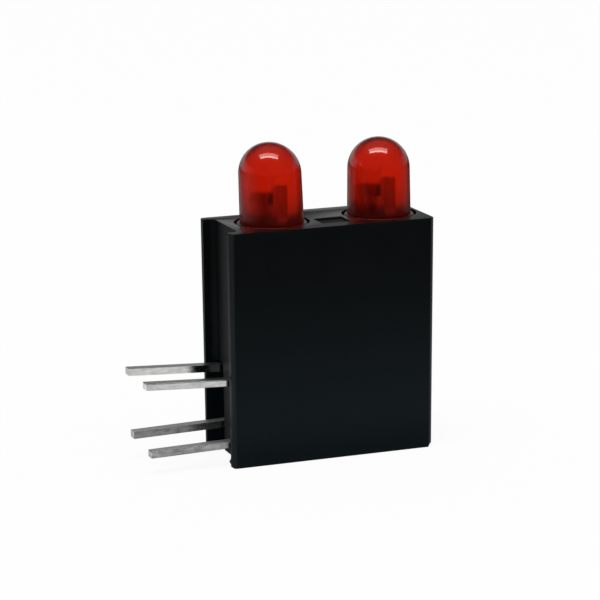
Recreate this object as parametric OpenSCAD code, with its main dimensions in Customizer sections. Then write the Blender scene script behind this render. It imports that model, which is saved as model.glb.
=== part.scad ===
// Two-high board indicator: a black moulded housing that holds two round indicator lamps one above the
// other, with their leads bent back towards the circuit board. Millimetres. The object stands as in the
// photograph: lamps up (+Z), leads out to the left (-X), long plain side to the front (-Y).

/* [Housing] */
// Board seat to the far end of the housing
body_w = 9.56; // [7.8:0.1:20]
// Front to back thickness
body_d = 4.2; // [3.6:0.1:8]
// Rear rim to the lamp face
body_h = 10.5; // [8:0.1:24]
// How much each drafted side draws in at the rear rim
draft = 0.1; // [0:0.02:0.3]
// Thickness of the far end wall
wall = 0.45; // [0.3:0.05:1.2]
// Radius on the upright outer edges
edge_r = 0.1; // [0.05:0.01:0.4]
// Corner cut at the rear rim, board side
foot_cut = 0.03; // [0.02:0.01:0.3]
// Corner cut at the rear rim, far end
rim_cut = 0.2; // [0.05:0.01:0.4]

/* [Board side] */
// How far the middle of the board side is set back between its two rails
recess_x = 0.53; // [0.2:0.01:1]
// Radius in the inner corners of that recess
recess_r = 0.3; // [0.1:0.05:0.6]
// Thickness of the wall behind the recess
board_wall = 0.5; // [0.3:0.05:1]
// Half width of the web left between the two lead slots
web_half = 0.75; // [0.3:0.05:1.2]
// How far the web stops short of the rear rim
web_z = 0.1; // [0.02:0.01:0.3]
// Room above the upper leads in the two lead slots
slot_gap = 0.1; // [0.06:0.01:2]
// Radius in the top corners of those slots
slot_r = 0.2; // [0.05:0.01:0.3]

/* [Inside the housing] */
// Thickness of the light-tight rib between the lamps
rib = 0.5; // [0.3:0.05:1]
// Foot of that rib above the rear rim
rib_z = 5.2; // [2:0.1:7]
// How far the bead along each side wall stands in
bead = 0.35; // [0.05:0.05:0.4]
// Foot of the bead above the rear rim
bead_lo = 0.04; // [0.02:0.01:0.2]
// Edge of the bead above its foot
bead_edge = 0.12; // [0.05:0.01:0.2]
// Top of the bead above the rear rim
bead_h = 0.46; // [0.42:0.01:0.8]
// Start of the bead from the board seat
bead_in = 0.04; // [0.02:0.01:0.3]

/* [Gate pocket] */
// Width of the shallow pocket between the lamps where the moulding was gated
gate_w = 1.34; // [0.6:0.02:1.6]
// Length of that pocket from front to back
gate_l = 1.2; // [0.6:0.02:1.6]
// Front edge of the pocket from the front side
gate_in = 0.74; // [0.2:0.02:1]
// Depth of the pocket
gate_depth = 0.06; // [0.03:0.01:0.4]

/* [Lamp seats] */
// Lip of the lamp face between the recess in the board side and the nearer seat
board_lip = 0.45; // [0.1:0.01:2]
// Lip of the lamp face between the other seat and the far end. The lamps then stand 5.08 apart
end_lip = 0.14; // [0.1:0.01:2]
// Gap round the flange of a lamp in its round seat
seat_gap = 0.11; // [0.05:0.01:0.3]
// Depth of that seat
seat_depth = 1; // [0.6:0.05:2]
// Thickness of the shelf under the flange
shelf = 0.6; // [0.3:0.05:1.5]
// Room beside the leads where they pass through the shelf
pass_side = 0.15; // [0.05:0.01:0.4]
// Room past the leads, front and back, where they pass through the shelf
pass_end = 0.08; // [0.02:0.01:0.14]

/* [Lamps] */
// Cover of the lens material past the leads at the rim of the flange. The flange then has a radius of 1.57
flange_lip = 0.05; // [0.03:0.01:0.3]
// Chamfer on the rim of the flange
flange_cut = 0.05; // [0.02:0.01:0.1]
// Step from the flange in to the foot of the lens, which then has a radius of 1.42
lens_step = 0.15; // [0.1:0.01:0.3]
// How much the lens draws in from its foot to the dome
lens_taper = 0.03; // [0:0.01:0.2]
// Top of the outer lamp's dome above the lamp face
lens_rise = 3.43; // [2.6:0.01:8]
// How much further the inner lamp's dome stands out
inner_more = 0.11; // [0:0.01:0.3]

/* [Leads] */
// Spacing of the two leads of a lamp
lead_pitch = 2.54; // [2.1:0.01:2.9]
// Width of a lead
lead_w = 0.5; // [0.3:0.02:0.6]
// Thickness of the lead strip
lead_t = 0.32; // [0.25:0.01:0.5]
// Clearance between a lead and the side wall
lead_gap = 0.1; // [0.05:0.01:0.3]
// Outside radius of the bend
bend_r = 0.8; // [0.5:0.05:1.5]
// Upper leads: centre height of the front one at the board seat
upper_z = 3.78; // [2.5:0.01:5]
// Upper leads: how much higher the back one leaves
upper_lift = 0.08; // [0:0.01:0.4]
// Upper leads: upward slope towards the tips, in degrees
upper_slope = 2.9; // [0:0.1:6]
// Upper leads: reach past the board seat
upper_reach = 3.78; // [2:0.01:8]
// Lower leads: centre height of the front one at the board seat
lower_z = 0.98; // [0.5:0.01:1.4]
// Lower leads: how much higher the back one leaves
lower_lift = 0.25; // [0:0.01:0.4]
// Lower leads: upward slope towards the tips, in degrees
lower_slope = -1.2; // [-2:0.1:3]
// Lower leads: reach past the board seat
lower_reach = 3.61; // [2:0.01:8]

/* [Inside the lens] */
// Height above the foot of the flange at which the leads start to draw together
neck_from = 0.25; // [0.1:0.01:0.3]
// Height over which they draw in to the spacing of the stems
neck_h = 0.5; // [0.3:0.01:0.7]
// How much later the outer edge of a lead turns than its inner edge
neck_edge = 0.12; // [0.05:0.01:0.2]
// Middle of a stem from the lamp axis
stem_y = 0.56; // [0.45:0.01:0.65]
// Width of a stem
stem_w = 0.36; // [0.25:0.01:0.4]
// Top of the cup head above the lamp face
cup_rise = 1.36; // [1:0.02:1.6]
// Height of the cup head
head_h = 0.5; // [0.4:0.02:0.7]
// Metal left beside the cup
cup_wall = 0.05; // [0.03:0.01:0.15]
// Metal left in front of the cup
cup_front = 0.14; // [0.05:0.01:0.2]
// Chamfer on the corners of the cup head
head_cut = 0.15; // [0.05:0.01:0.18]
// How much the cup widens from its floor to its rim
cup_flare = 0.045; // [0.01:0.005:0.08]
// Depth of the cup
cup_depth = 0.18; // [0.12:0.01:0.25]
// Top of the wire post above the lamp face
post_rise = 1.76; // [1.6:0.02:2]
// Side of the square light chip
chip = 0.2; // [0.15:0.01:0.25]
// Thickness of the light chip
chip_t = 0.1; // [0.05:0.01:0.12]
// Gap between the corners of the chip and the wall of the cup
chip_gap = 0.014; // [0.005:0.001:0.03]
// Radius of the bond wire
wire_r = 0.03; // [0.02:0.005:0.05]

/* [Hidden] */
$fn = 48;
// Cuts reach this far past a face, and joined forms this far into each other
over = 1;
bite = 0.01;
// Steps in a corner, in a lead's bend and in a dome
arcs = 6;
bend_steps = 10;
dome_steps = 18;
// The origin is the middle of the rear rim, so the board seat lies half the width to the left of it
seat_x = -body_w / 2;
floor_x = seat_x + recess_x;
// The room between the side walls follows the leads, which lie next to the walls
lead_y = lead_pitch / 2;
lead_out = lead_y + lead_w / 2;
inner_y = lead_out + lead_gap;
far_in = seat_x + body_w - draft - wall;
slot_top = upper_z + upper_lift + lead_t / 2 + slot_gap;
// The flange covers the leads, the seat takes the flange, and the lamps stand a lip inside each end
flange_r = lead_out + flange_lip;
lens_r = flange_r - lens_step;
dome_r = lens_r - lens_taper;
seat_r = flange_r + seat_gap;
lamps = [floor_x + board_lip + seat_r, seat_x + body_w - end_lip - seat_r];
mid_x = (lamps[0] + lamps[1]) / 2;
foot_z = body_h - seat_depth;
deck_z = foot_z - shelf;
pass_x = lead_t / 2 + pass_side;
pass_y = lead_out + pass_end;
// The post stands half a stem further out than the back stem does
stem_in = stem_y - stem_w / 2;
stem_out = stem_y + stem_w / 2;
post_y = -stem_out;
cup_floor_r = chip / sqrt(2) + chip_gap;
cup_r = cup_floor_r + cup_flare;
head_half = cup_r + cup_wall;
head_front = cup_r + cup_front;
head_z = body_h + cup_rise;
chip_z = head_z - cup_depth + chip_t;

// A quarter arc of a rounded corner, centre c, from angle a over 90 degrees
function corner(c, r, a) =
    [for (i = [0 : arcs]) c + r * [cos(a + 90 * i / arcs), sin(a + 90 * i / arcs)]];

module rounded(x0, y0, x1, y1, r) {
    polygon(concat(corner([x0 + r, y0 + r], r, 180), corner([x1 - r, y0 + r], r, 270),
                   corner([x1 - r, y1 - r], r, 0), corner([x0 + r, y1 - r], r, 90)));
}

// A flat outline drawn in x and z, given its thickness along y between y0 and y1
module across(y0, y1) {
    translate([0, y1, 0]) rotate([90, 0, 0]) linear_extrude(height = y1 - y0) children();
}

// A flat outline drawn in y and z, given its thickness along x between x0 and x1
module along(x0, x1) {
    translate([x0, 0, 0]) rotate([90, 0, 90]) linear_extrude(height = x1 - x0) children();
}

// Outer form: every side but the board seat draws in towards the rear rim
module outer_form() {
    base_w = body_w - draft;
    base_d = body_d - 2 * draft;
    intersection() {
        translate([seat_x, 0, 0])
            linear_extrude(height = body_h, scale = [body_w / base_w, body_d / base_d], slices = 1)
                rounded(0, -base_d / 2, base_w, base_d / 2, edge_r);
        across(-body_d, body_d) polygon([
            [seat_x + foot_cut, 0], [seat_x + base_w - rim_cut, 0], [seat_x + base_w, rim_cut],
            [seat_x + body_w + over, rim_cut], [seat_x + body_w + over, body_h], [seat_x, body_h],
            [seat_x, foot_cut]]);
    }
}

// The room behind the board-side wall, open at the rear, with the rib left standing between the lamps
module inside() {
    difference() {
        translate([floor_x + board_wall, -inner_y, -over])
            cube([far_in - floor_x - board_wall, 2 * inner_y, deck_z + over]);
        translate([mid_x - rib / 2, -body_d, rib_z]) cube([rib, 2 * body_d, body_h]);
    }
}

// A bead along the foot of each side wall
module beads() {
    for (m = [0, 1]) mirror([0, m, 0]) along(seat_x + bead_in, far_in + bite) polygon([
        [inner_y + bite, bead_lo], [inner_y, bead_lo], [inner_y - bead, bead_lo + bead_edge],
        [inner_y, bead_h], [inner_y + bite, bead_h]]);
}

// What is taken out of the board side: the recess between its rails, and the way out for the leads
module board_side() {
    corner_x = floor_x - recess_r;
    corner_y = inner_y - recess_r;
    translate([0, 0, -over]) linear_extrude(height = body_h + 2 * over) polygon(concat(
        [[seat_x - over, -inner_y]],
        corner([corner_x, -corner_y], recess_r, 270),
        corner([corner_x, corner_y], recess_r, 0),
        [[seat_x - over, inner_y]]));
    // Two lead slots, open at the rear and rounded at their closed ends
    for (m = [0, 1]) mirror([0, m, 0]) along(corner_x, floor_x + board_wall + bite)
        rounded(web_half, -over, inner_y, slot_top, slot_r);
    translate([floor_x - over, -inner_y, -over])
        cube([over + board_wall + bite, 2 * inner_y, over + web_z]);
}

module housing() {
    color("#1b1c1e") union() {
        difference() {
            outer_form();
            inside();
            board_side();
            for (x = lamps) {
                translate([x, 0, foot_z]) cylinder(r = seat_r, h = seat_depth + over);
                translate([x, 0, deck_z - bite]) linear_extrude(height = shelf + 2 * bite)
                    rounded(-pass_x, -pass_y, pass_x, pass_y, pass_x * 0.8);
            }
            translate([mid_x - gate_w / 2, gate_in - body_d / 2, body_h - gate_depth])
                cube([gate_w, gate_l, gate_depth + over]);
        }
        beads();
    }
}

// Lens outline from its foot over the tapered side to the dome
module lens_form(x, rise) {
    spring = body_h + rise - dome_r;
    top = body_h - bite;
    translate([x, 0, 0]) rotate_extrude() polygon(concat(
        [[0, foot_z], [flange_r, foot_z], [flange_r, top - flange_cut], [flange_r - flange_cut, top],
         [lens_r, top]],
        [for (i = [0 : dome_steps - 1]) let (a = 90 * i / dome_steps)
            [dome_r * cos(a), spring + dome_r * sin(a)]],
        [[0, body_h + rise]]));
}

// One strip: down from the lamp, round the bend and out to the left. s is +1 for the back lead.
module strip(x, s, z, slope, reach) {
    rise = tan(slope);
    zc = z - rise * (x - seat_x);
    in_r = bend_r - lead_t;
    tip = seat_x - reach;
    y = s * lead_y;
    top = foot_z + bite;
    dz = lead_t / 2 / cos(slope);
    turn = 90 + slope;
    // The centre of the bend lies above the outgoing strip and to the left of the upright one
    cx = x + lead_t / 2 - bend_r;
    cz = zc - rise * (cx - x) - dz + bend_r / cos(slope);
    ways = [for (i = [0 : bend_steps]) [cos(turn * i / bend_steps), -sin(turn * i / bend_steps)]];
    outer_arc = [for (i = [0 : bend_steps]) [cx, cz] + bend_r * ways[i]];
    inner_arc = [for (i = [bend_steps : -1 : 0]) [cx, cz] + in_r * ways[i]];
    across(y - lead_w / 2, y + lead_w / 2) polygon(concat(
        [[x + lead_t / 2, top]], outer_arc,
        [[tip, zc + rise * (x - tip) - dz], [tip, zc + rise * (x - tip) + dz]],
        inner_arc, [[x - lead_t / 2, top]]));
}

// The part of a lead cast into the lens: from the lead spacing in to the stem, and up to z1
module stem(x, s, z1) {
    a = lead_y - lead_w / 2;
    c = s < 0 ? stem_y : stem_in;
    lo = foot_z + neck_from;
    hi = lo + neck_h;
    along(x - lead_t / 2, x + lead_t / 2) polygon([for (p = [
        [a, foot_z], [lead_out, foot_z], [lead_out, lo + neck_edge], [c + stem_w, hi], [c + stem_w, z1],
        [c, z1], [c, hi - neck_edge], [a, lo]]) [s * p[0], p[1]]]);
}

// Back lead with the head that carries the cup
module cathode(x, z, lift, slope, reach) {
    difference() {
        union() {
            strip(x, 1, z + lift, slope, reach);
            stem(x, 1, head_z - head_h / 2);
            along(x - head_half, x + head_half) polygon([
                [-head_front, head_z], [-head_front, head_z - head_h + head_cut],
                [head_cut - head_front, head_z - head_h], [stem_out, head_z - head_h],
                [stem_out, head_z - head_cut], [stem_out - head_cut, head_z]]);
        }
        translate([x, 0, head_z - cup_depth]) cylinder(r1 = cup_floor_r, r2 = cup_r, h = cup_depth);
        translate([x, 0, head_z - bite / 10]) cylinder(r = cup_r, h = over);
    }
}

// Front lead with the post that takes the bond wire
module anode(x, z, slope, reach) {
    strip(x, -1, z, slope, reach);
    stem(x, -1, body_h + post_rise);
}

module light_chip(x) {
    translate([x - chip / 2, -chip / 2, chip_z - chip_t]) cube([chip, chip, chip_t]);
}

// Bond wire: straight up from the chip and over to the post
module bond_wire(x) {
    r = -post_y / 2;
    z = body_h + post_rise;
    translate([x, 0, chip_z]) cylinder(r = wire_r, h = z - chip_z, $fn = 16);
    translate([x, -r, z]) rotate([90, 0, 90]) rotate_extrude(angle = 180)
        translate([r, 0]) circle(r = wire_r, $fn = 16);
}

module lens(x, rise, z, lift, slope, reach) {
    difference() {
        lens_form(x, rise);
        cathode(x, z, lift, slope, reach);
        anode(x, z, slope, reach);
        light_chip(x);
        bond_wire(x);
    }
}

module inner_lens() {
    color("#b3140f", 0.6)
        lens(lamps[0], lens_rise + inner_more, upper_z, upper_lift, upper_slope, upper_reach);
}
module inner_cathode() { color("#c4c6c8") cathode(lamps[0], upper_z, upper_lift, upper_slope, upper_reach); }
module inner_anode() { color("#c4c6c8") anode(lamps[0], upper_z, upper_slope, upper_reach); }
module inner_chip() { color("#5a1512") light_chip(lamps[0]); }
module inner_wire() { color("#d8a63c") bond_wire(lamps[0]); }

module outer_lens() {
    color("#b3140f", 0.6) lens(lamps[1], lens_rise, lower_z, lower_lift, lower_slope, lower_reach);
}
module outer_cathode() { color("#c4c6c8") cathode(lamps[1], lower_z, lower_lift, lower_slope, lower_reach); }
module outer_anode() { color("#c4c6c8") anode(lamps[1], lower_z, lower_slope, lower_reach); }
module outer_chip() { color("#5a1512") light_chip(lamps[1]); }
module outer_wire() { color("#d8a63c") bond_wire(lamps[1]); }

housing();
inner_lens();
inner_cathode();
inner_anode();
inner_chip();
inner_wire();
outer_lens();
outer_cathode();
outer_anode();
outer_chip();
outer_wire();
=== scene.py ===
"""Two-lamp board indicator as it stands in the photograph: lamps up, leads to the left.

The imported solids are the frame. The back leads and the light chips are shown as they are, with their own
finishes. The housing's shell, the front leads, the cast lenses and the bond wires are modelled here.
Metres, in the frame of the part.
"""

import math

import bpy
from mathutils import Euler, Matrix, Vector


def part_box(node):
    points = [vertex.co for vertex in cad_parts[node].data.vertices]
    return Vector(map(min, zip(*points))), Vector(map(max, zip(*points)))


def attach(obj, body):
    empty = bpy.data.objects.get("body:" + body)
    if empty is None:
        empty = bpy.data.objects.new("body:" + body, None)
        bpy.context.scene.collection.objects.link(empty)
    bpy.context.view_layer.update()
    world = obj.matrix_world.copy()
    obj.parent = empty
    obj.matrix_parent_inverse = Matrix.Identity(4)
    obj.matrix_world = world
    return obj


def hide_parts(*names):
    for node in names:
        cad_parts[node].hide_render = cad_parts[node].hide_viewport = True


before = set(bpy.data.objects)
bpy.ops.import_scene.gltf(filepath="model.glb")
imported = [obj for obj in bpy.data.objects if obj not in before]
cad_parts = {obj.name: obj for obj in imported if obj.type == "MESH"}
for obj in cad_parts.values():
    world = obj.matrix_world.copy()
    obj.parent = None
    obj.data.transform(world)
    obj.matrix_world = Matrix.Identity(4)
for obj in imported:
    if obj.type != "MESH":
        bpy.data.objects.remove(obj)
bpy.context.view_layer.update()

MM = 0.001
LAMPS = ("inner", "outer")

# Camera: the photograph's viewing angle and distance
CAMERA_AIM = Vector((-0.8368, 0.0203, 6.8401)) * MM
CAMERA_DISTANCE = 121.6398 * MM
CAMERA_TURN = math.radians(20.3146)
CAMERA_DROP = math.radians(12.6449)
CAMERA_ROLL = math.radians(-0.7523)
CAMERA_LENS = 164.11
CAMERA_SENSOR = 36
CAMERA_CLIP = (1 * MM, 10)

# Housing, in millimetres: its lamp face, its board seat, and the far corners of its tapered sides at the
# rear rim and how much they widen up to the lamp face
FACE = 10.5
SEAT = -4.78
RIM_RIGHT = 4.68
RIM_SIDE = 2.0
TAPER = 0.1 / FACE
# The recess in its board side: the floor, and how far from the middle the rails beside it begin
RECESS_FLOOR = -4.25
RAIL_INNER = 1.62
# Depth of the gate pocket between the lamps
GATE_DEPTH = 0.06
# Radius of the upright corners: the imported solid's and the moulding's own
PACKED_CORNER = 0.1
CORNER = 0.2

# Lens outline above its foot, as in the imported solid
FLANGE_TOP = 0.99 * MM
FLANGE_CHAMFER = 0.05 * MM
LENS_FOOT_RADIUS = 1.42 * MM
DOME_RADIUS = 1.39 * MM
LENS_SIDES = 128
DOME_RINGS = 32
# How strongly the cast epoxy bends light
EPOXY_IOR = 1.54
# How far each lamp leans to the right over its height
LEAN = {"inner": -0.026, "outer": 0.0}
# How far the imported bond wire's surface is drawn in
WIRE_THINNER = 0.016 * MM
# The front lead's post: the height it starts at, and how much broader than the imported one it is, across and
# from front to back
POST_FOOT = (FACE - 0.3) * MM
POST_GROWTH = (1.45, 1.3, 1)

# Radius of the leads' edges and of the housing's, from what angle an edge is rounded, and in how many steps
LEAD_EDGE = 0.045 * MM
HOUSING_EDGE = 0.03 * MM
SHARP = math.radians(35)
EDGE_STEPS = 3
# Angles up to which the lens and the wire are shaded smooth
LENS_SMOOTH = math.radians(20)
WIRE_SMOOTH = math.radians(40)
# Points nearer to each other than this are one
HAIR = 0.001 * MM

# Studio
ROOM_LIGHT = 0.42
FRONT_WALL = 0.05
BACK_WALL = 0.46
PAPER_GLOW = 0.92
MIRROR_GLOW = 0.4
FLOOR_SIZE = 4
# The softbox and the tube at its front: width and depth, place, and power
SOFTBOX = {"size": (1.6, 0.56), "place": (-0.14, -0.27, 1.52), "power": 9.5}
TUBE = {"size": (1.6, 0.22), "place": (-0.14, -0.45, 1.5), "power": 5.5}
BOX_TURN = math.radians(-22)


def look_through_camera():
    """A camera that looks to the right and down at the aim point"""
    data = bpy.data.cameras.new("camera")
    data.sensor_width = CAMERA_SENSOR
    data.lens = CAMERA_LENS
    data.clip_start, data.clip_end = CAMERA_CLIP
    camera = bpy.data.objects.new("camera", data)
    bpy.context.scene.collection.objects.link(camera)
    turn = Euler((math.pi / 2 - CAMERA_DROP, 0, -CAMERA_TURN)).to_matrix()
    turn = turn @ Matrix.Rotation(CAMERA_ROLL, 3, "Z")
    camera.rotation_euler = turn.to_euler()
    camera.location = CAMERA_AIM + turn @ Vector((0, 0, CAMERA_DISTANCE))
    bpy.context.scene.camera = camera


class Signal:
    """An output socket that takes part in Python arithmetic: each operation adds its Math node"""

    def __init__(self, finish, socket):
        self.finish = finish
        self.socket = socket

    def __add__(self, other):
        return self.finish.math("ADD", self, other)

    def __radd__(self, other):
        return self.finish.math("ADD", other, self)

    def __sub__(self, other):
        return self.finish.math("SUBTRACT", self, other)

    def __rsub__(self, other):
        return self.finish.math("SUBTRACT", other, self)

    def __mul__(self, other):
        return self.finish.math("MULTIPLY", self, other)

    def __rmul__(self, other):
        return self.finish.math("MULTIPLY", other, self)


class Finish:
    """A procedural node tree. Every node comes from node(): its type, its settings, then its sockets"""

    def __init__(self, owner, end="ShaderNodeOutputMaterial"):
        self.owner = owner
        owner.use_nodes = True
        self.tree = owner.node_tree
        self.tree.nodes.clear()
        self.end = end

    def node(self, kind, settings=None, sockets=None, output=0):
        made = self.tree.nodes.new(kind)
        for name, value in (settings or {}).items():
            if name == "stops":
                ramp = made.color_ramp
                for place, colour in value[1:-1]:
                    ramp.elements.new(place)
                for element, (place, colour) in zip(ramp.elements, value):
                    element.position = place
                    element.color = (*colour, 1)
            else:
                setattr(made, name, value)
        for name, value in (sockets or {}).items():
            if isinstance(value, Signal):
                self.tree.links.new(value.socket, made.inputs[name])
            else:
                made.inputs[name].default_value = value
        return Signal(self, made.outputs[output])

    def math(self, operation, a, b):
        return self.node("ShaderNodeMath", {"operation": operation}, {0: a, 1: b})

    def place(self):
        """Object coordinates in millimetres"""
        here = self.node("ShaderNodeTexCoord", output="Object")
        return self.node("ShaderNodeVectorMath", {"operation": "SCALE"}, {0: here, "Scale": 1 / MM})

    def parts(self, where, axes="XYZ"):
        """The numbers of a place or direction along these axes"""
        return [self.node("ShaderNodeSeparateXYZ", None, {"Vector": where}, output=axis) for axis in axes]

    def noise(self, where, scale, detail=3, roughness=0.5):
        return self.node("ShaderNodeTexNoise", None, {
            "Vector": where, "Scale": scale, "Detail": detail, "Roughness": roughness})

    def between(self, value, low, high, to_low=0, to_high=1, shape="LINEAR"):
        return self.node("ShaderNodeMapRange", {"interpolation_type": shape}, {
            "Value": value, "From Min": low, "From Max": high, "To Min": to_low, "To Max": to_high})

    def blend(self, share, first, second):
        return self.node("ShaderNodeMix", {"data_type": "RGBA"}, {
            "Factor": share, 6: first, 7: second}, output=2)

    def bump(self, height, depth, strength=1.0):
        return self.node("ShaderNodeBump", None, {
            "Height": height, "Distance": depth, "Strength": strength})

    def rays(self):
        """Whether a camera, a mirror or a clear body looks here, each 0 or 1"""
        camera = self.node("ShaderNodeLightPath", output="Is Camera Ray")
        through = self.node("ShaderNodeLightPath", output="Is Transmission Ray")
        mirror = self.node("ShaderNodeLightPath", output="Is Glossy Ray") * (1 - through)
        return camera, mirror, through

    def principled(self, **sockets):
        named = {name.replace("_", " "): value for name, value in sockets.items()}
        return self.node("ShaderNodeBsdfPrincipled", None, named)

    def close(self, shader):
        made = self.tree.nodes.new(self.end)
        self.tree.links.new(shader.socket, made.inputs["Surface"])
        return self.owner


def material(name):
    return Finish(bpy.data.materials.new(name))


def moulded_black():
    """Black moulded plastic, satin: smoother at the back of the lamp face, where a painted sheen makes it
    paler, torn and dull in the gate mark, matte on the recess floor with painted light on it, with a painted
    highlight on the upright corners, and bluer and paler low down with painted light from the floor"""
    f = material("moulded_black")
    where = f.place()
    x, y, z = f.parts(where)
    wide, deep = f.math("ABSOLUTE", x, 0), f.math("ABSOLUTE", y, 0)
    grain = f.noise(where, 26, 4, 0.6)
    cloud = f.noise(where, 0.8, 2)
    body = f.between(cloud, 0.3, 0.7, 0.27, 0.33)
    face = f.between(y, -1.6, 0.4, 0.34, 0.12) + f.between(x, 2.5, 4.5, 0, 0.05)
    on_face = f.between(z, FACE - 0.02, FACE - 0.01)
    in_gate = f.between(z, FACE - GATE_DEPTH - 0.03, FACE - GATE_DEPTH - 0.02) * (1 - on_face)
    between_rails = f.between(deep, RAIL_INNER - 0.02, RAIL_INNER - 0.04)
    in_recess = f.between(x, RECESS_FLOOR + 0.1, RECESS_FLOOR + 0.05) * between_rails * (1 - on_face)
    sharp = RIM_RIGHT + RIM_SIDE + z * TAPER + f.between(x, -1, 1, -SEAT - RIM_RIGHT, z * TAPER)
    corner_highlight = f.between(sharp - wide - deep, 0.2, 0.1) * f.between(x, -1, 1, 0.26, 1.0)
    smooth = body + on_face * (face - body) + in_gate * 0.22 + in_recess * 0.2
    colour = f.blend(cloud, (0.0026, 0.0040, 0.0044, 1), (0.0034, 0.0050, 0.0054, 1))
    # Painted floor light: the colour turns bluer and paler low down, standing in for light from the floor
    colour = f.blend(f.between(z, 8.5, 1.5), colour, (0.0036, 0.0082, 0.0100, 1))
    # Painted light: the recess floor is made paler, fading to painted shade towards the far rail
    colour = f.blend(in_recess * f.between(y, 1.4, 0.1), colour, (0.020, 0.022, 0.021, 1))
    # Painted sheen: the back of the lamp face, left of the gate, is made paler as if it mirrored the room
    painted_sheen = on_face * f.between(y, -0.2, 0.6) * f.between(x, 2.0, 1.0)
    colour = f.blend(painted_sheen, colour, (0.019, 0.018, 0.018, 1))
    # Painted highlight: the upright corners are made paler, more on the right, where the rounded edges catch
    # light
    colour = f.blend(corner_highlight * (1 - on_face), colour, (0.056, 0.059, 0.065, 1))
    return f.close(f.principled(
        Base_Color=colour,
        Roughness=smooth + f.between(grain, 0.3, 0.7, -0.03, 0.03),
        Specular_IOR_Level=0.085,
        Normal=f.bump(grain, 0.004 * MM, 0.5),
    ))


def tinned():
    """Bright tin over a stamped strip: streaked along the strip, rougher on top with painted shade there,
    darker and rougher on the lower leads, and with painted shade and a painted pinkish reflection inside the
    lamp"""
    f = material("tinned")
    where = f.place()
    y, z = f.parts(where, "YZ")
    along = f.node("ShaderNodeMapping", None, {"Vector": where, "Scale": (0.6, 5, 5)})
    streak = f.noise(along, 2.2, 4, 0.6)
    dull = f.noise(where, 3.5, 3)
    patch = f.between(dull, 0.35, 0.7) * 0.5 + f.between(streak, 0.45, 0.65) * 0.5
    upper = f.between(z, 2.0, 3.4)
    # The lower leads are darker and rougher than the upper ones
    bright = f.blend(upper, (0.74, 0.74, 0.735, 1), (0.98, 0.98, 0.97, 1))
    worn = f.blend(upper, (0.34, 0.34, 0.335, 1), (0.68, 0.68, 0.67, 1))
    strip = f.blend(patch, bright, worn)
    facing_up = f.parts(f.node("ShaderNodeNewGeometry", output="Normal"), "Z")[0]
    # Painted shade on the tops: the upper leads' tops are a darker grey, and on the lower leads the rounded
    # top edges are dark while the flat tops stay bright
    top = f.between(facing_up, 0.15, 0.5)
    lower_top = f.blend(f.between(facing_up, 0.92, 0.98), (0.36, 0.36, 0.36, 1), (0.92, 0.92, 0.91, 1))
    strip = f.blend(top * 0.85, strip, f.blend(upper, lower_top, (0.44, 0.44, 0.44, 1)))
    # Painted shade inside the lamp: dark near the middle, with a paler pinkish painted reflection further out
    from_cup = f.between(f.math("ABSOLUTE", y, 0), 0.2, 0.45)
    painted_light_in_lamp = f.blend(from_cup, (0.09, 0.09, 0.09, 1), (0.38, 0.33, 0.36, 1))
    colour = f.blend(f.between(z, FACE - 0.6, FACE - 0.5), strip, painted_light_in_lamp)
    smooth = f.between(dull, 0.3, 0.7, 0.09, 0.15) + f.between(streak, 0.3, 0.7, -0.03, 0.05)
    return f.close(f.principled(
        Base_Color=colour,
        Metallic=1.0,
        Roughness=smooth + top * 0.2 + (1 - upper) * 0.14,
        Normal=f.bump(streak, 0.01 * MM, 0.14),
    ))


def red_epoxy():
    """Cast epoxy with a deep red tint, hazy inside and glossy outside. Painted shade darkens it towards the
    black housing, with a painted pale ring of light at its foot, and the flange has no gloss"""
    f = material("red_epoxy")
    where = f.place()
    z = f.parts(where, "Z")[0]
    cloud = f.noise(where, 1.2, 2)
    tint = f.blend(cloud, (0.58, 0.010, 0.0014, 1), (0.62, 0.013, 0.0020, 1))
    height = f.between(z, FACE, FACE + 1.5)
    # Painted light and shade: dark on the flange, a painted pale ring just above the lamp face, painted shade
    # up the lower lens, then the plain tint
    foot = f.node("ShaderNodeValToRGB", {"stops": [
        (0.02, (0.20, 0.016, 0.012)), (0.03, (0.82, 0.039, 0.029)), (0.12, (0.60, 0.025, 0.014)),
        (0.32, (0.25, 0.008, 0.0025)), (0.6, (0.30, 0.009, 0.0026)), (1.0, (0.38, 0.011, 0.0030))]},
        {"Fac": height})
    gloss = f.between(z, FACE + 0.02, FACE + 0.06)
    return f.close(f.principled(
        Base_Color=f.blend(height, foot, tint),
        Roughness=f.between(cloud, 0.3, 0.7, 0.30, 0.34),
        IOR=EPOXY_IOR,
        Specular_Tint=(0.8, 0.06, 0.02, 1),
        Transmission_Weight=0.9,
        Coat_Weight=gloss,
        Coat_Roughness=0.03,
        Coat_IOR=EPOXY_IOR,
    ))


def light_crystal():
    """The sawn light chip, dark red with a frosted saw mark"""
    f = material("light_crystal")
    saw = f.noise(f.place(), 40, 2)
    colour = f.blend(saw, (0.10, 0.015, 0.015, 1), (0.16, 0.03, 0.02, 1))
    return f.close(f.principled(Base_Color=colour, Roughness=f.between(saw, 0.3, 0.7, 0.25, 0.4)))


def drawn_gold():
    """Drawn gold wire"""
    f = material("drawn_gold")
    draw = f.noise(f.place(), 30, 2)
    colour = f.blend(draw, (0.80, 0.58, 0.20, 1), (0.88, 0.68, 0.30, 1))
    roughness = f.between(draw, 0.3, 0.7, 0.18, 0.3)
    return f.close(f.principled(Base_Color=colour, Metallic=1.0, Roughness=roughness))


def give(piece, finish):
    piece.data.materials.clear()
    piece.data.materials.append(finish)


def alone(piece):
    """Makes this the only selected and active object"""
    bpy.ops.object.select_all(action="DESELECT")
    piece.select_set(True)
    bpy.context.view_layer.objects.active = piece


def round_edges(piece, width):
    """Puts a small radius on every sharp edge"""
    bevel = piece.modifiers.new("soft_edges", "BEVEL")
    bevel.width = width
    bevel.segments = EDGE_STEPS
    bevel.limit_method = "ANGLE"
    bevel.angle_limit = SHARP
    return bevel


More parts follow.
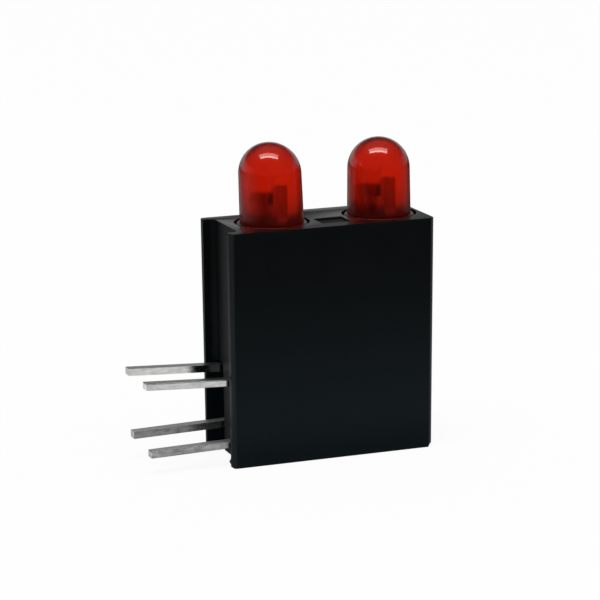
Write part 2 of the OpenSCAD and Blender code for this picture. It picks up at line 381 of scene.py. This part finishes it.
def soften_lead(lead):
    """Rounds a lead's edges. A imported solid's mesh comes as loose triangles, so they are joined first"""
    lead.modifiers.new("weld", "WELD").merge_threshold = HAIR
    round_edges(lead, LEAD_EDGE).harden_normals = True


def pick_top(piece, height):
    """Selects the faces of a piece in edit mode that lie at this height"""
    bpy.ops.mesh.select_all(action="DESELECT")
    bpy.ops.object.mode_set(mode="OBJECT")
    for face in piece.data.polygons:
        if abs(face.center.z - height) < HAIR and face.normal.z > 0.99:
            face.select = True
    bpy.ops.object.mode_set(mode="EDIT")


def raise_to(centre, aside, rise, share):
    """Extrudes the picked face by this rise and step aside and draws it in to this share of its size"""
    bpy.ops.mesh.extrude_region_move(TRANSFORM_OT_translate={"value": (aside, 0, rise)})
    bpy.ops.transform.resize(value=(share, share, 1), center_override=centre)


def cast_lens(name, node, lean):
    """One cast lens: a flange disc, the drawn-in side and the leaning dome, closed at its pole"""
    low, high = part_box(node)
    centre = Vector(((low.x + high.x) / 2, (low.y + high.y) / 2, low.z))
    flange_radius = (high.x - low.x) / 2
    rim = FLANGE_TOP - FLANGE_CHAMFER
    bpy.ops.object.select_all(action="DESELECT")
    bpy.ops.mesh.primitive_cylinder_add(
        vertices=LENS_SIDES, radius=flange_radius, depth=rim,
        location=centre + Vector((0, 0, rim / 2)))
    piece = bpy.context.object
    piece.name = name
    bpy.ops.object.transform_apply(location=True, rotation=True, scale=True)
    bpy.ops.object.mode_set(mode="EDIT")
    pick_top(piece, low.z + rim)
    radius = flange_radius
    height = low.z + rim
    spring = high.z - DOME_RADIUS
    outline = [(flange_radius - FLANGE_CHAMFER, low.z + FLANGE_TOP), (LENS_FOOT_RADIUS, low.z + FLANGE_TOP)]
    for ring in range(DOME_RINGS):
        angle = math.pi / 2 * ring / DOME_RINGS
        outline.append((DOME_RADIUS * math.cos(angle), spring + DOME_RADIUS * math.sin(angle)))
    foot = low.z + FLANGE_TOP
    for next_radius, next_height in outline:
        aside = lean * (max(next_height, foot) - max(height, foot))
        centre.x += aside
        raise_to((centre.x, centre.y, next_height), aside, next_height - height, next_radius / radius)
        radius, height = next_radius, next_height
    bpy.ops.mesh.extrude_region_move(TRANSFORM_OT_translate={"value": (0, 0, high.z - height)})
    bpy.ops.mesh.merge(type="CENTER")
    bpy.ops.mesh.select_all(action="SELECT")
    bpy.ops.mesh.remove_doubles(threshold=0.1 * HAIR)
    bpy.ops.mesh.normals_make_consistent(inside=False)
    bpy.ops.object.mode_set(mode="OBJECT")
    alone(piece)
    bpy.ops.object.shade_smooth_by_angle(angle=LENS_SMOOTH)
    return piece


def merged_copy(name, node):
    """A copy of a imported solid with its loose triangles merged, in edit mode and with everything selected"""
    piece = bpy.data.objects.new(name, node.data.copy())
    bpy.context.scene.collection.objects.link(piece)
    alone(piece)
    bpy.ops.object.mode_set(mode="EDIT")
    bpy.ops.mesh.select_mode(type="VERT")
    bpy.ops.mesh.select_all(action="SELECT")
    bpy.ops.mesh.remove_doubles(threshold=0.5 * HAIR)
    return piece


def moulded_shell(name, node):
    """The housing with the moulding's softer upright corners: each arc grows about its own sharp corner"""
    piece = merged_copy(name, node)
    bpy.ops.object.mode_set(mode="OBJECT")
    reach = 1.2 * PACKED_CORNER
    grow = CORNER / PACKED_CORNER
    arcs = {}
    for vertex in piece.data.vertices:
        place = vertex.co / MM
        end = SEAT if place.x < 0 else RIM_RIGHT + TAPER * place.z
        side = math.copysign(RIM_SIDE + TAPER * place.z, place.y)
        if max(abs(place.x - end), abs(place.y - side)) < reach:
            corner = (round(end, 4), round(side, 4), round(place.z, 4))
            arcs.setdefault(corner, []).append(vertex.index)
    for corner, arc in arcs.items():
        bpy.ops.object.mode_set(mode="EDIT")
        bpy.ops.mesh.select_all(action="DESELECT")
        bpy.ops.object.mode_set(mode="OBJECT")
        for index in arc:
            piece.data.vertices[index].select = True
        bpy.ops.object.mode_set(mode="EDIT")
        bpy.ops.transform.resize(value=(grow, grow, 1), center_override=Vector(corner) * MM)
    bpy.ops.object.mode_set(mode="OBJECT")
    bpy.ops.object.shade_smooth()
    round_edges(piece, HOUSING_EDGE)
    bpy.ops.object.modifier_apply(modifier="soft_edges")
    bpy.ops.object.shade_smooth_by_angle(angle=SHARP)
    piece.modifiers.new("flat_faces", "WEIGHTED_NORMAL").keep_sharp = True
    bpy.ops.object.modifier_apply(modifier="flat_faces")
    return piece


def bond_wire(name, node):
    """The bond wire at its real thinness"""
    piece = merged_copy(name, node)
    bpy.ops.transform.shrink_fatten(value=-WIRE_THINNER)
    bpy.ops.object.mode_set(mode="OBJECT")
    bpy.ops.object.shade_smooth_by_angle(angle=WIRE_SMOOTH)
    return piece


def post_lead(name, node):
    """The front lead with a broader post: it grows to the right and to the front from its own far corner"""
    piece = merged_copy(name, node)
    bpy.ops.mesh.select_all(action="DESELECT")
    bpy.ops.object.mode_set(mode="OBJECT")
    post = [vertex for vertex in piece.data.vertices if vertex.co.z > POST_FOOT]
    for vertex in post:
        vertex.select = True
    far = Vector((min(vertex.co.x for vertex in post), max(vertex.co.y for vertex in post), 0))
    bpy.ops.object.mode_set(mode="EDIT")
    bpy.ops.transform.resize(value=POST_GROWTH, center_override=far)
    bpy.ops.object.mode_set(mode="OBJECT")
    soften_lead(piece)
    for modifier in ("weld", "soft_edges"):
        bpy.ops.object.modifier_apply(modifier=modifier)
    return piece


def stand_for(piece, node, finish):
    """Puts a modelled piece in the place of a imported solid"""
    give(piece, finish)
    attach(piece, "root")
    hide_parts(node)


def pale_floor():
    """White paper that keeps the shadow. Mirrors see a pale strip of it that runs past the object's front and
    right side, and a grey corner behind its left side. Clear bodies see it darken far to the sides."""
    bpy.ops.object.select_all(action="DESELECT")
    bpy.ops.mesh.primitive_plane_add(size=FLOOR_SIZE, location=(0, 0, 0))
    floor = bpy.context.object
    floor.name = "floor"
    f = material("pale_floor")
    where = f.place()
    x, y = f.parts(where, "XY")
    camera, mirror, through = f.rays()
    strip = f.node("ShaderNodeValToRGB", {"stops": [
        (0.04, (0.03, 0.03, 0.03)), (0.14, (0.07, 0.07, 0.07)), (0.24, (0.18, 0.18, 0.18)),
        (0.37, (0.42, 0.42, 0.42)), (0.50, (0.78, 0.78, 0.78)), (0.58, (0.97, 0.97, 0.97)),
        (0.68, (0.97, 0.97, 0.97)), (0.78, (0.14, 0.14, 0.14)), (1.0, (0.12, 0.12, 0.12))]},
        {"Fac": f.between(y, -60, 40)})
    aside = f.math("ABSOLUTE", x, 0)
    corner = f.between(y, 6, 18) * f.between(x, 8, -8, 0.06, 0.34) * f.between(aside, 20, 44, 1, 0.5)
    # Painted shadow: mirrors see the floor darkened just in front of the object
    near_front = f.between(y, -7, -4) * f.between(aside, 7, 12, 0.65, 0)
    strip = strip * f.between(aside, 30, 44, 1, 0.10, "SMOOTHSTEP") * (1 - near_front)
    mirrored = strip + corner * f.between(y, 34, 60, 1, 0.3)
    shown = 1 - mirror * (1 - mirrored) - through * f.between(aside, 26, 54, 0, 0.5)
    fleck = f.noise(where, 2, 2)
    paper = f.blend(fleck, (0.94, 0.94, 0.94, 1), (0.96, 0.96, 0.96, 1))
    lit = f.principled(
        Base_Color=f.blend(mirrored * mirror, f.blend(mirror, paper, (0, 0, 0, 1)), (1, 1, 1, 1)),
        Roughness=0.9, Specular_IOR_Level=0.0)
    glow = f.node("ShaderNodeEmission", None, {"Color": (1, 1, 1, 1), "Strength": shown})
    seen = f.math("MAXIMUM", f.math("MAXIMUM", camera, through), mirror * MIRROR_GLOW)
    give(floor, f.close(f.node("ShaderNodeMixShader", None, {0: seen * PAPER_GLOW, 1: lit, 2: glow})))


def hang_lamp(name, size, place, power):
    """A long lamp that faces down, square to the camera's direction"""
    lamp = bpy.data.lights.new(name, "AREA")
    lamp.shape = "RECTANGLE"
    lamp.size, lamp.size_y = size
    lamp.energy = power
    hung = bpy.data.objects.new(name, lamp)
    hung.location = place
    hung.rotation_euler = (0, 0, BOX_TURN)
    bpy.context.scene.collection.objects.link(hung)


def light_studio():
    """A softbox with its tube in front, and a grey room, dark in front, that looks white from the camera"""
    hang_lamp("softbox", **SOFTBOX)
    hang_lamp("softbox_tube", **TUBE)
    world = bpy.data.worlds.new("room")
    bpy.context.scene.world = world
    f = Finish(world, "ShaderNodeOutputWorld")
    camera, mirror, through = f.rays()
    white = f.math("MAXIMUM", camera, through)
    y, z = f.parts(f.node("ShaderNodeTexCoord", output="Generated"), "YZ")
    low_and_high = f.between(z, 0.24, 0.40, 1, 0, "SMOOTHSTEP") + f.between(z, 0.70, 0.86, 0, 0.45)
    walls = FRONT_WALL + f.between(y, -0.3, 0.8, 0, BACK_WALL - FRONT_WALL) * low_and_high
    strength = white + (1 - white) * (ROOM_LIGHT + mirror * (walls - ROOM_LIGHT))
    f.close(f.node("ShaderNodeBackground", None, {"Color": (1, 1, 1, 1), "Strength": strength}))


look_through_camera()
light_studio()
pale_floor()

black = moulded_black()
tin = tinned()
epoxy = red_epoxy()
crystal = light_crystal()
gold = drawn_gold()

stand_for(moulded_shell("housing_shell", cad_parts["housing"]), "housing", black)

for lamp in LAMPS:
    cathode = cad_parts[f"{lamp}_cathode"]
    give(cathode, tin)
    soften_lead(cathode)
    anode = post_lead(f"{lamp}_anode_stamped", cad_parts[f"{lamp}_anode"])
    stand_for(anode, f"{lamp}_anode", tin)
    give(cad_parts[f"{lamp}_chip"], crystal)
    lens = cast_lens(f"{lamp}_lens_cast", f"{lamp}_lens", LEAN[lamp])
    stand_for(lens, f"{lamp}_lens", epoxy)
    wire = bond_wire(f"{lamp}_wire_drawn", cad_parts[f"{lamp}_wire"])
    stand_for(wire, f"{lamp}_wire", gold)

bpy.context.scene.view_settings.view_transform = "Standard"
